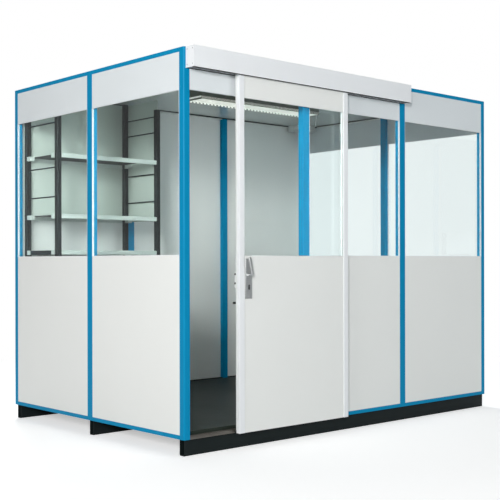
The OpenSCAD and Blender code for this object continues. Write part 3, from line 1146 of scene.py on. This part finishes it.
class CABIN_OT_lock(bpy.types.Operator):
    """Makes the lock's two levers, and its collars, key covers, screws and black gaskets that paint
    the shade around the plates
    """

    bl_idname = "cabin.lock"
    bl_label = "Lock and levers"

    def lever(self, mesh, face_y, away, pivot, lean, reach, centre_out):
        """Adds one lever: a round neck off the plate that bends into a flat grip."""
        up = Vector((-math.sin(lean), 0, math.cos(lean)))
        out = Vector((0, away, 0))
        side = up.cross(out)
        bend = 11 * MM
        base = Vector((pivot.x, face_y, pivot.z))
        stations = []
        for share in (0.0, 0.3, 0.6, 1.0):
            stations.append((out * (share * (centre_out - bend)), out, 8 * MM, 8 * MM))
        turning = out * (centre_out - bend) + up * bend
        for step in range(1, 7):
            angle = math.pi / 2 * step / 6
            place = turning - up * (bend * math.cos(angle)) + out * (bend * math.sin(angle))
            heading = out * math.cos(angle) + up * math.sin(angle)
            share = step / 6
            stations.append((place, heading, (8 + share) * MM, (8 - 2.6 * share) * MM))
        grip = reach - bend
        for share in (0.2, 0.45, 0.7, 0.88):
            place = turning + out * bend + up * (share * grip)
            stations.append((place, up, 9 * MM, (5.4 - 0.4 * share) * MM))
        for step in range(1, 6):
            angle = math.pi / 2 * step / 6
            place = turning + out * bend + up * (grip * 0.88 + grip * 0.12 * math.sin(angle))
            shrink = math.cos(angle)
            stations.append((place, up, 9 * MM * shrink, 5 * MM * max(shrink, 0.45)))
        rings = []
        for place, heading, half_side, half_deep in stations:
            deep = side.cross(heading)
            ring = []
            for i in range(20):
                angle = 2 * math.pi * i / 20
                offset = side * (half_side * math.cos(angle)) + deep * (
                    half_deep * math.sin(angle)
                )
                ring.append(mesh.verts.new(base + place + offset))
            rings.append(ring)
        join_rings(mesh, rings)

    def execute(self, context):
        coat("aluminium", "lock_plates")
        plate_low, plate_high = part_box("lock_plates")
        levers = next(j for j in frame["joints"] if j["name"] == "lever_turn")
        pivot = Vector(levers["pos_m"])
        mesh = bmesh.new()
        lever_low, lever_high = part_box("door_levers")
        seat = 0.3 * MM
        grip = 5.5 * MM
        lean = math.radians(13)
        reach = 113 * MM
        outer = plate_low.y - seat
        inner = plate_high.y + seat
        self.lever(mesh, outer, -1, pivot, lean, reach, outer - lever_low.y - grip)
        self.lever(mesh, inner, 1, pivot, lean, reach, lever_high.y - inner - grip)
        spindle = plate_high.y - plate_low.y
        add_turned(
            mesh,
            Vector((pivot.x, plate_low.y, pivot.z)),
            (0, 1, 0),
            [(0, 0), (4 * MM, 0), (4 * MM, spindle), (0, spindle)],
            16,
        )
        make_piece(
            "levers", mesh, "door_lever", ["aluminium"], ["door_levers"]
        )

        # Collars around the necks, screws in the plates, key covers, and black gaskets that show
        # around the plates as painted shade of the gap beside them. The levers' spindle runs
        # through the gaskets, which have no hole for it, where the plates hide them.
        mesh = bmesh.new()
        _, leaf_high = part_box("door_stiles")
        panel_low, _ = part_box("door_panels")
        for face, away in ((plate_low.y, -1), (plate_high.y, 1)):
            foot_y = panel_low.y if away < 0 else leaf_high.y
            ys = sorted((foot_y, foot_y + away * 3 * MM))
            # Black gasket behind the plate: painted shade of the gap around it
            add_block(
                mesh,
                (plate_low.x - 2 * MM, ys[0], plate_low.z - 1 * MM),
                (plate_high.x + 1 * MM, ys[1], plate_high.z + 1 * MM),
                0.6 * MM,
                1,
            )
            collar = [(8.6 * MM, 0), (13 * MM, 0), (13 * MM, 2 * MM), (11.5 * MM, 3.4 * MM)]
            collar += [(8.6 * MM, 3.4 * MM), (8.6 * MM, 0)]
            add_turned(mesh, Vector((pivot.x, face, pivot.z)), (0, away, 0), collar, 28)
            for z in (plate_low.z + 14 * MM, plate_high.z - 14 * MM):
                add_screw(mesh, Vector((pivot.x, face, z)), (0, away, 0), 4 * MM)
            # Black cover of the cylinder, an upright oval with a keyway in it
            key_z = plate_low.z + 70 * MM
            oval = rounded_outline((-6 * MM, -16 * MM), (6 * MM, 16 * MM), 5.9 * MM, 6)
            rings = []
            for share, depth in ((1.0, 0.0), (1.0, 1.2 * MM), (0.86, 1.8 * MM)):
                y = face + away * depth
                spots = [(pivot.x + a * share, y, key_z + b * share) for a, b in oval]
                rings.append([mesh.verts.new(spot) for spot in spots])
            join_rings(mesh, rings, 1)
            ys = sorted((face + away * 1.8 * MM, face + away * 2.3 * MM))
            add_block(
                mesh,
                (pivot.x - 0.8 * MM, ys[0], key_z + 1 * MM),
                (pivot.x + 0.8 * MM, ys[1], key_z + 10 * MM),
                0.1 * MM,
                1,
            )
        make_piece(
            "lock_trim",
            mesh,
            "sliding_door",
            ["aluminium", "black_plastic"],
        )
        return {"FINISHED"}


class CABIN_OT_rack(bpy.types.Operator):
    """Makes the shelf rack: grooved uprights, folded trays, rungs and side bars"""

    bl_idname = "cabin.rack"
    bl_label = "Shelf rack"

    def execute(self, context):
        sizes = context.scene.cabin_sizes
        coat("black", "rack_rungs")
        coat("shelf", "rack_clips")
        low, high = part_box("rack_uprights")
        half = sizes.upright_width / 2
        groove, deep = sizes.groove_width / 2, sizes.groove_depth
        corner = 4 * MM

        # One side of the upright's outline, which is then turned round all four sides
        quarter = [
            (half, -half + corner),
            (half, -groove - MM),
            (half - MM, -groove),
            (half - deep, -groove),
            (half - deep, groove),
            (half - MM, groove),
            (half, groove + MM),
            (half, half - corner),
        ]
        outline = []
        for turns in range(4):
            angle = math.pi / 2 * turns
            for x, y in quarter:
                turned_x = x * math.cos(angle) - y * math.sin(angle)
                turned_y = x * math.sin(angle) + y * math.cos(angle)
                outline.append((turned_x, turned_y))
        mesh = bmesh.new()
        for x in (low.x + half, high.x - half):
            for y in (low.y + half, high.y - half):
                placed = [(x + a, y + b) for a, b in outline]
                top = self.post_top(low.y if y < (low.y + high.y) / 2 else high.y)
                add_profile(mesh, placed, low.z, top, "Z")
                add_block(
                    mesh,
                    (x - half - 5 * MM, y - half - 5 * MM, low.z),
                    (x + half + 5 * MM, y + half + 5 * MM, low.z + 4 * MM),
                    1 * MM,
                )
                add_block(
                    mesh,
                    (x - half, y - half, top),
                    (x + half, y + half, top + 3 * MM),
                    1 * MM,
                    1,
                )
        make_piece(
            "rack_posts",
            mesh,
            "cabin",
            ["black", "black_plastic"],
            ["rack_uprights"],
        )

        # Folded trays: a sheet with its front and back edges turned down and under
        tray_low, tray_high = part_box("rack_shelves")
        sheet, edge = sizes.shelf_sheet, sizes.shelf_edge
        lip = 12 * MM
        clips_low, clips_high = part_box("rack_clips")
        mesh = bmesh.new()
        tops = self.tray_tops(sheet)
        for top in tops:
            front, back = tray_low.y, tray_high.y
            outer = [
                (front + lip, top - edge),
                (front + 1.5 * MM, top - edge),
                (front, top - edge + 1.5 * MM),
                (front, top - 1.5 * MM),
                (front + 1.5 * MM, top),
                (back - 1.5 * MM, top),
                (back, top - 1.5 * MM),
                (back, top - edge + 1.5 * MM),
                (back - 1.5 * MM, top - edge),
                (back - lip, top - edge),
            ]
            inner = [
                (back - lip, top - edge + sheet),
                (back - sheet, top - edge + sheet),
                (back - sheet, top - sheet),
                (front + sheet, top - sheet),
                (front + sheet, top - edge + sheet),
                (front + lip, top - edge + sheet),
            ]
            before = len(mesh.faces)
            add_profile(mesh, outer + inner, tray_low.x, tray_high.x)
            mesh.faces.ensure_lookup_table()
            # The tray's underside takes a near-black finish: painted shade under the tray.
            mesh.faces[before + len(outer) + 2].material_index = 1
        make_piece(
            "rack_trays", mesh, "cabin", ["shelf", "underside_shade"], ["rack_shelves"]
        )

        # Bar between the clips at the ends of the tray at sill height
        mesh = bmesh.new()
        top = tops[2]
        for x in (clips_low.x + 1 * MM, clips_high.x - 9 * MM):
            add_block(
                mesh,
                (x, clips_low.y + 45 * MM, top - edge),
                (x + 8 * MM, clips_high.y - 45 * MM, top - 1 * MM),
                1.5 * MM,
            )
        make_piece("rack_end_bars", mesh, "cabin", ["black"])

        # Sheets behind the two upper trays and at their right end: painted shade of the wall behind
        # the rack, which also hides the back post there
        mesh = bmesh.new()
        foot, head = tops[3] - 25 * MM, self.post_top(high.y) - 2 * MM
        thick = 1 * MM
        add_block(
            mesh, (low.x, high.y, foot), (high.x + thick, high.y + thick, head), 0.3 * MM
        )
        add_block(
            mesh,
            (high.x, low.y + sizes.upright_width, foot),
            (high.x + thick, high.y, head),
            0.3 * MM,
        )
        make_piece("rack_sheets", mesh, "cabin", ["rack_sheet"])
        return {"FINISHED"}

    def post_top(self, face_y):
        """Height of the uprights that have a face at that y."""
        vertices = frame["nodes"]["rack_uprights"].data.vertices
        return max(v.co.z for v in vertices if abs(v.co.y - face_y) < 0.1 * MM)

    def tray_tops(self, sheet):
        """Heights of the trays' top faces, from the lowest tray up, for that sheet."""
        vertices = frame["nodes"]["rack_shelves"].data.vertices
        levels = sorted({round(v.co.z, 4) for v in vertices})
        tops = [z for z in levels if any(abs(z - sheet - other) < 0.2 * MM for other in levels)]
        if len(tops) != 5:
            raise RuntimeError(f"the rack has {len(tops)} trays in place of 5")
        return tops


class CABIN_OT_lamp(bpy.types.Operator):
    """Makes the lamp with its tubes and blades, and the junction box with its lead"""

    bl_idname = "cabin.lamp"
    bl_label = "Lamp and junction box"

    def execute(self, context):
        sizes = context.scene.cabin_sizes
        low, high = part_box("lamp_housing")
        blade_low, blade_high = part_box("lamp_louvre")
        wall = 2 * MM

        # Tray of folded sheet, grey outside, where its dark grey is partly painted shade, and white
        # inside
        mesh = bmesh.new()
        outline = [
            (low.y, low.z),
            (low.y, high.z - 2 * MM),
            (low.y + 2 * MM, high.z),
            (high.y - 2 * MM, high.z),
            (high.y, high.z - 2 * MM),
            (high.y, low.z),
            (high.y - wall, low.z),
            (high.y - wall, high.z - wall),
            (low.y + wall, high.z - wall),
            (low.y + wall, low.z),
        ]
        add_profile(mesh, outline, low.x, high.x)
        mesh.faces.ensure_lookup_table()
        for index in (6, 7, 8):
            mesh.faces[index].material_index = 1
        add_block(
            mesh, (low.x, low.y, blade_low.z + 7 * MM), (high.x, low.y + wall, low.z), 0.5 * MM
        )
        for x in (low.x, high.x - wall):
            add_block(mesh, (x, low.y, blade_low.z + 4 * MM), (x + wall, high.y, high.z), 0.5 * MM)
        make_piece(
            "lamp_tray", mesh, "cabin", ["lamp", "louvre"], ["lamp_housing"]
        )

        # Two tubes with their end caps
        mesh = bmesh.new()
        for share in (0.28, 0.72):
            y = low.y + share * (high.y - low.y)
            start = Vector((low.x + 12 * MM, y, low.z + 22 * MM))
            run = high.x - low.x - 24 * MM
            glass = [(0, 14 * MM), (12 * MM, 14 * MM), (13 * MM, 20 * MM)]
            glass += [(13 * MM, run - 20 * MM), (12 * MM, run - 14 * MM), (0, run - 14 * MM)]
            add_turned(mesh, start, (1, 0, 0), glass, 20)
            cap_length, cap_radius = 15 * MM, 13.5 * MM
            for foot in (0, run - cap_length):
                tip = foot + cap_length
                shape = [(0, foot), (cap_radius, foot), (cap_radius, tip), (0, tip)]
                add_turned(mesh, start, (1, 0, 0), shape, 20, 1)
        make_piece("lamp_tubes", mesh, "cabin", ["tube", "aluminium"])

        # Blades across the tubes, deeper in the middle of each bay, and the rails that hold them
        mesh = bmesh.new()
        count = int((blade_high.x - blade_low.x) / sizes.blade_pitch)
        pitch = (blade_high.x - blade_low.x - 4 * MM) / count
        for step in range(count + 1):
            x = blade_low.x + 2 * MM + step * pitch
            outline = [
                (x - 0.7 * MM, blade_low.z + 9 * MM),
                (x, blade_low.z + 8 * MM),
                (x + 0.7 * MM, blade_low.z + 9 * MM),
                (x + 4 * MM, blade_high.z),
                (x - 4 * MM, blade_high.z),
            ]
            front = [mesh.verts.new((a, blade_low.y + 1 * MM, b)) for a, b in outline]
            back = [mesh.verts.new((a, blade_high.y - 1 * MM, b)) for a, b in outline]
            join_rings(mesh, [front, back])
            # Each blade ends in a tooth on the far side.
            add_block(
                mesh,
                (x - 8 * MM, blade_high.y - 3 * MM, blade_low.z),
                (x + 8 * MM, blade_high.y - 1 * MM, blade_low.z + 10 * MM),
                0.5 * MM,
            )
        for y in (blade_low.y, (blade_low.y + blade_high.y) / 2 - 1 * MM, blade_high.y - 2 * MM):
            add_block(
                mesh,
                (blade_low.x, y, blade_low.z + 10 * MM),
                (blade_high.x, y + 2 * MM, blade_high.z),
                0.6 * MM,
            )
        make_piece("lamp_blades", mesh, "cabin", ["louvre"], ["lamp_louvre"])

        # Junction box with a lid, four lid screws and a gland where the lead goes in
        coat("plastic", "lamp_lead")
        low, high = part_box("junction_box")
        _, lead_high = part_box("lamp_lead")
        mesh = bmesh.new()
        add_block(mesh, (low.x, low.y, low.z + 14 * MM), high, 4 * MM)
        add_block(
            mesh,
            (low.x - 1 * MM, low.y - 1 * MM, low.z),
            (high.x + 1 * MM, high.y + 1 * MM, low.z + 13 * MM),
            4 * MM,
        )
        for x in (low.x + 12 * MM, high.x - 12 * MM):
            for y in (low.y + 12 * MM, high.y - 12 * MM):
                add_screw(mesh, Vector((x, y, low.z)), (0, 0, -1), 4 * MM, 1)
        gland = Vector((lead_high.x - 5 * MM, low.y, high.z - 11 * MM))
        gland_shape = [(0, 0), (10 * MM, 0), (10 * MM, 6 * MM)]
        gland_shape += [(8 * MM, 7 * MM), (7 * MM, 14 * MM), (0, 15 * MM)]
        add_turned(mesh, gland, (0, -1, 0), gland_shape, 18, 2)
        make_piece(
            "junction_box_case",
            mesh,
            "cabin",
            ["plastic", "zinc", "black_plastic"],
            ["junction_box"],
        )
        return {"FINISHED"}


# Studio


def share_seen(tree):
    """Share of the white surroundings that a ray sees.

    It is all of them straight on and through glass, a small part in a mirror image, so that
    gloss stays quiet, and none once the light has met a matt surface, so that they light
    nothing.
    """
    path = add_node(tree, "ShaderNodeLightPath", {}, {})
    direct = add_node(
        tree,
        "ShaderNodeMath",
        {"operation": "MAXIMUM"},
        {0: path.outputs["Is Camera Ray"], 1: path.outputs["Is Transmission Ray"]},
    )
    either = add_node(
        tree,
        "ShaderNodeMath",
        {"operation": "MAXIMUM"},
        {0: direct.outputs[0], 1: path.outputs["Is Glossy Ray"]},
    )
    # The first mirror image takes nine tenths off, and a second one the rest.
    dimmed = add_node(
        tree,
        "ShaderNodeMath",
        {"operation": "MULTIPLY_ADD", "use_clamp": True},
        {0: path.outputs["Glossy Depth"], 1: -0.9, 2: 1.0},
    )
    fresh = add_node(
        tree,
        "ShaderNodeMath",
        {"operation": "LESS_THAN"},
        {0: path.outputs["Diffuse Depth"], 1: 0.5},
    )
    share = either
    for factor in (dimmed, fresh):
        share = add_node(
            tree,
            "ShaderNodeMath",
            {"operation": "MULTIPLY"},
            {0: share.outputs[0], 1: factor.outputs[0]},
        )
    return share.outputs[0]


def add_softbox(name, place, target, size, power, tint):
    """Adds a square soft lamp of that size in metres and power in watts."""
    data = bpy.data.lights.new(name, "AREA")
    data.shape = "SQUARE"
    data.size = size
    data.energy = power
    data.color = tint
    lamp = bpy.data.objects.new(name, data)
    lamp.location = place
    lamp.rotation_euler = (Vector(target) - Vector(place)).to_track_quat("-Z", "Y").to_euler()
    bpy.context.scene.collection.objects.link(lamp)
    return lamp


class CABIN_OT_stage(bpy.types.Operator):
    """Sets up the pale floor, the white surroundings, the soft lamps and the camera"""

    bl_idname = "cabin.stage"
    bl_label = "Studio"

    def execute(self, context):
        scene = context.scene
        self.make_floor()
        self.make_world(scene)
        front = (-0.6, -0.6, 1.3)
        add_softbox("key_softbox", (-8.9, -8.0, 3.4), front, 1.5, 690, (1.0, 0.985, 0.965))
        add_softbox("left_softbox", (-7.0, -2.8, 2.8), front, 1.5, 100, (1.0, 0.99, 0.975))
        fill = add_softbox(
            "right_softbox", (3.6, -9.5, 1.3), front, 1.5, 165, (0.92, 0.975, 1.0)
        )
        # The panes would mirror this low lamp as a hard white patch.
        fill.visible_glossy = False
        add_softbox("back_softbox", (2.5, 7.5, 7.5), (0.0, 0.6, 1.5), 2.5, 620, (0.98, 0.99, 1.0))
        self.make_camera(scene)
        scene.view_settings.view_transform = "Standard"
        return {"FINISHED"}

    def make_floor(self):
        """Pale floor that keeps the cabin's shadow and fades to white away from it."""
        mesh = bmesh.new()
        bmesh.ops.create_circle(mesh, cap_ends=True, segments=96, radius=60.0)
        data = bpy.data.meshes.new("studio_floor")
        mesh.to_mesh(data)
        mesh.free()
        floor = bpy.data.objects.new("studio_floor", data)
        floor.location.z = -0.5 * MM
        bpy.context.scene.collection.objects.link(floor)
        material = bpy.data.materials.new("studio_floor_white")
        material.use_nodes = True
        tree = material.node_tree
        tree.nodes.clear()
        place = add_node(tree, "ShaderNodeTexCoord", {}, {}).outputs["Object"]
        away = add_node(tree, "ShaderNodeVectorMath", {"operation": "LENGTH"}, {0: place})
        # Metres from the cabin's middle between which the floor turns white
        fade_start, fade_end = 2.2, 5.0
        fade = add_node(
            tree,
            "ShaderNodeMapRange",
            {"interpolation_type": "SMOOTHSTEP"},
            {"Value": away.outputs["Value"], "From Min": fade_start, "From Max": fade_end},
        )
        matt = add_node(tree, "ShaderNodeBsdfDiffuse", {}, {"Color": opaque("#e9ebec")})
        lit = add_node(tree, "ShaderNodeEmission", {}, {"Color": WHITE, "Strength": 0.5})
        near = add_node(tree, "ShaderNodeAddShader", {}, {0: matt.outputs[0], 1: lit.outputs[0]})
        white = add_node(tree, "ShaderNodeEmission", {}, {"Color": WHITE, "Strength": 1.0})
        shown = add_node(
            tree,
            "ShaderNodeMixShader",
            {},
            {0: fade.outputs[0], 1: near.outputs[0], 2: white.outputs[0]},
        )
        both = add_node(
            tree,
            "ShaderNodeMixShader",
            {},
            {0: share_seen(tree), 1: matt.outputs[0], 2: shown.outputs[0]},
        )
        add_node(tree, "ShaderNodeOutputMaterial", {}, {"Surface": both.outputs[0]})
        data.materials.append(material)

    def make_world(self, scene):
        """White surroundings for what looks straight at them, and a soft sky for the rest."""
        world = bpy.data.worlds.new("studio")
        scene.world = world
        world.use_nodes = True
        tree = world.node_tree
        tree.nodes.clear()
        sky = add_node(
            tree, "ShaderNodeBackground", {}, {"Color": (0.97, 0.99, 1.0, 1.0), "Strength": 0.17}
        )
        white = add_node(tree, "ShaderNodeBackground", {}, {"Color": WHITE, "Strength": 1.0})
        both = add_node(
            tree,
            "ShaderNodeMixShader",
            {},
            {0: share_seen(tree), 1: sky.outputs[0], 2: white.outputs[0]},
        )
        add_node(tree, "ShaderNodeOutputWorld", {}, {"Surface": both.outputs[0]})

    def make_camera(self, scene):
        """Camera at chest height off the front left corner."""
        data = bpy.data.cameras.new("camera")
        data.sensor_width = 36.0
        data.lens = 70.73
        data.shift_x = -0.0140
        data.shift_y = 0.0241
        data.clip_end = 200.0
        camera = bpy.data.objects.new("camera", data)
        camera.location = (-5.136, -5.655, 1.163)
        camera.rotation_euler = (math.radians(90), math.radians(0.1), math.radians(-42.195))
        scene.collection.objects.link(camera)
        scene.camera = camera


class CABIN_PT_panel(bpy.types.Panel):
    """Lists the steps that dress the cabin"""

    bl_idname = "CABIN_PT_panel"
    bl_label = "Workshop cabin"
    bl_space_type = "VIEW_3D"
    bl_region_type = "UI"
    bl_category = "Cabin"

    def draw(self, context):
        for operator in OPERATORS:
            self.layout.operator(operator.bl_idname)
        for group in (context.scene.cabin_colours, context.scene.cabin_sizes):
            for name in group.__annotations__:
                self.layout.prop(group, name)


OPERATORS = [
    CABIN_OT_frame,
    CABIN_OT_walls,
    CABIN_OT_floor,
    CABIN_OT_roof,
    CABIN_OT_edges,
    CABIN_OT_track,
    CABIN_OT_door,
    CABIN_OT_lock,
    CABIN_OT_rack,
    CABIN_OT_lamp,
    CABIN_OT_stage,
]
CLASSES = [CabinColours, CabinSizes, *OPERATORS, CABIN_PT_panel]


def register():
    for each in CLASSES:
        bpy.utils.register_class(each)
    bpy.types.Scene.cabin_colours = bpy.props.PointerProperty(type=CabinColours)
    bpy.types.Scene.cabin_sizes = bpy.props.PointerProperty(type=CabinSizes)


def unregister():
    del bpy.types.Scene.cabin_sizes
    del bpy.types.Scene.cabin_colours
    for each in reversed(CLASSES):
        bpy.utils.unregister_class(each)


def main():
    """Dresses the cabin step by step."""
    register()
    for operator in OPERATORS:
        group, name = operator.bl_idname.split(".")
        getattr(getattr(bpy.ops, group), name)()


if __name__ == "__main__":
    main()
